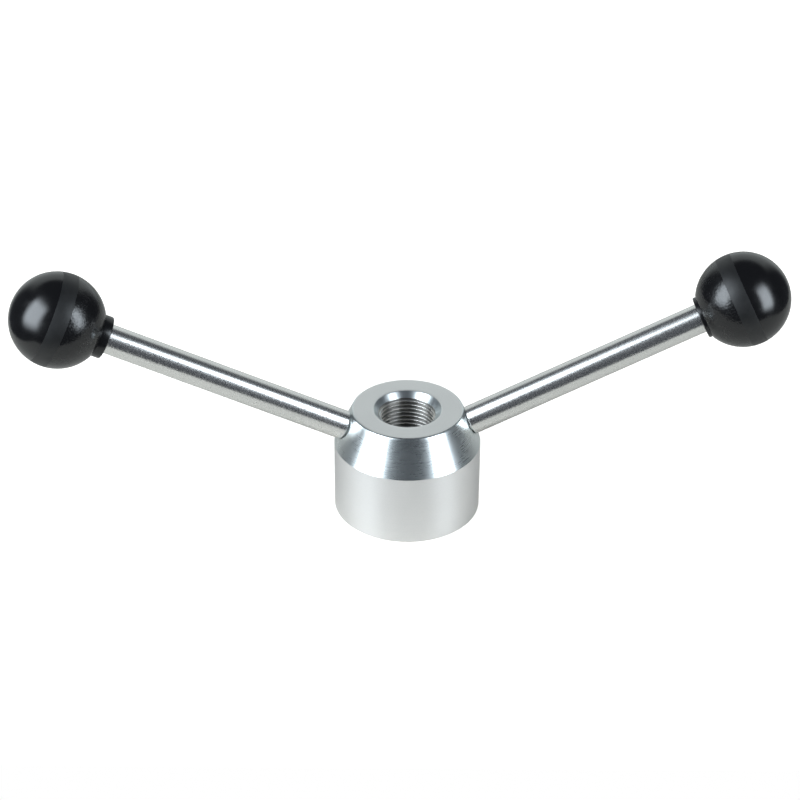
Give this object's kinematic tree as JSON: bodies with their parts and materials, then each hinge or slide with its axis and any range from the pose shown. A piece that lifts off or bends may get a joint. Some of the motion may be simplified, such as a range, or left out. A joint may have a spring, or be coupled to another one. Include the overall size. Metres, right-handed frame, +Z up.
{
  "type": "actuating lever",
  "caption": "Rigid actuating lever: a cone-topped steel hub with a through thread, straight rising rods on opposite sides and black ball knobs held by clamping sleeves.",
  "frame": {"origin": "centre of the hub's flat base, on the thread axis", "axes": "+Z up along the thread axis, +X along the right arm as seen from the front, +Y away from the viewer"},
  "size_m": [0.2597, 0.05, 0.0936],
  "materials": {
    "turned_steel": "fine turned, bright plated",
    "zinc_plated_steel": "bright zinc plated",
    "sleeve_plastic": "moulded, satin gloss",
    "black_thermoset": "polished, with a matt turned belt"
  },
  "bodies": {
    "root": {"hub": "turned_steel", "arm_rod_left": "zinc_plated_steel", "arm_rod_right": "zinc_plated_steel", "clamping_sleeve_left": "sleeve_plastic", "clamping_sleeve_right": "sleeve_plastic", "ball_knob_left": "black_thermoset", "ball_knob_right": "black_thermoset"}
  },
  "joints": []
}
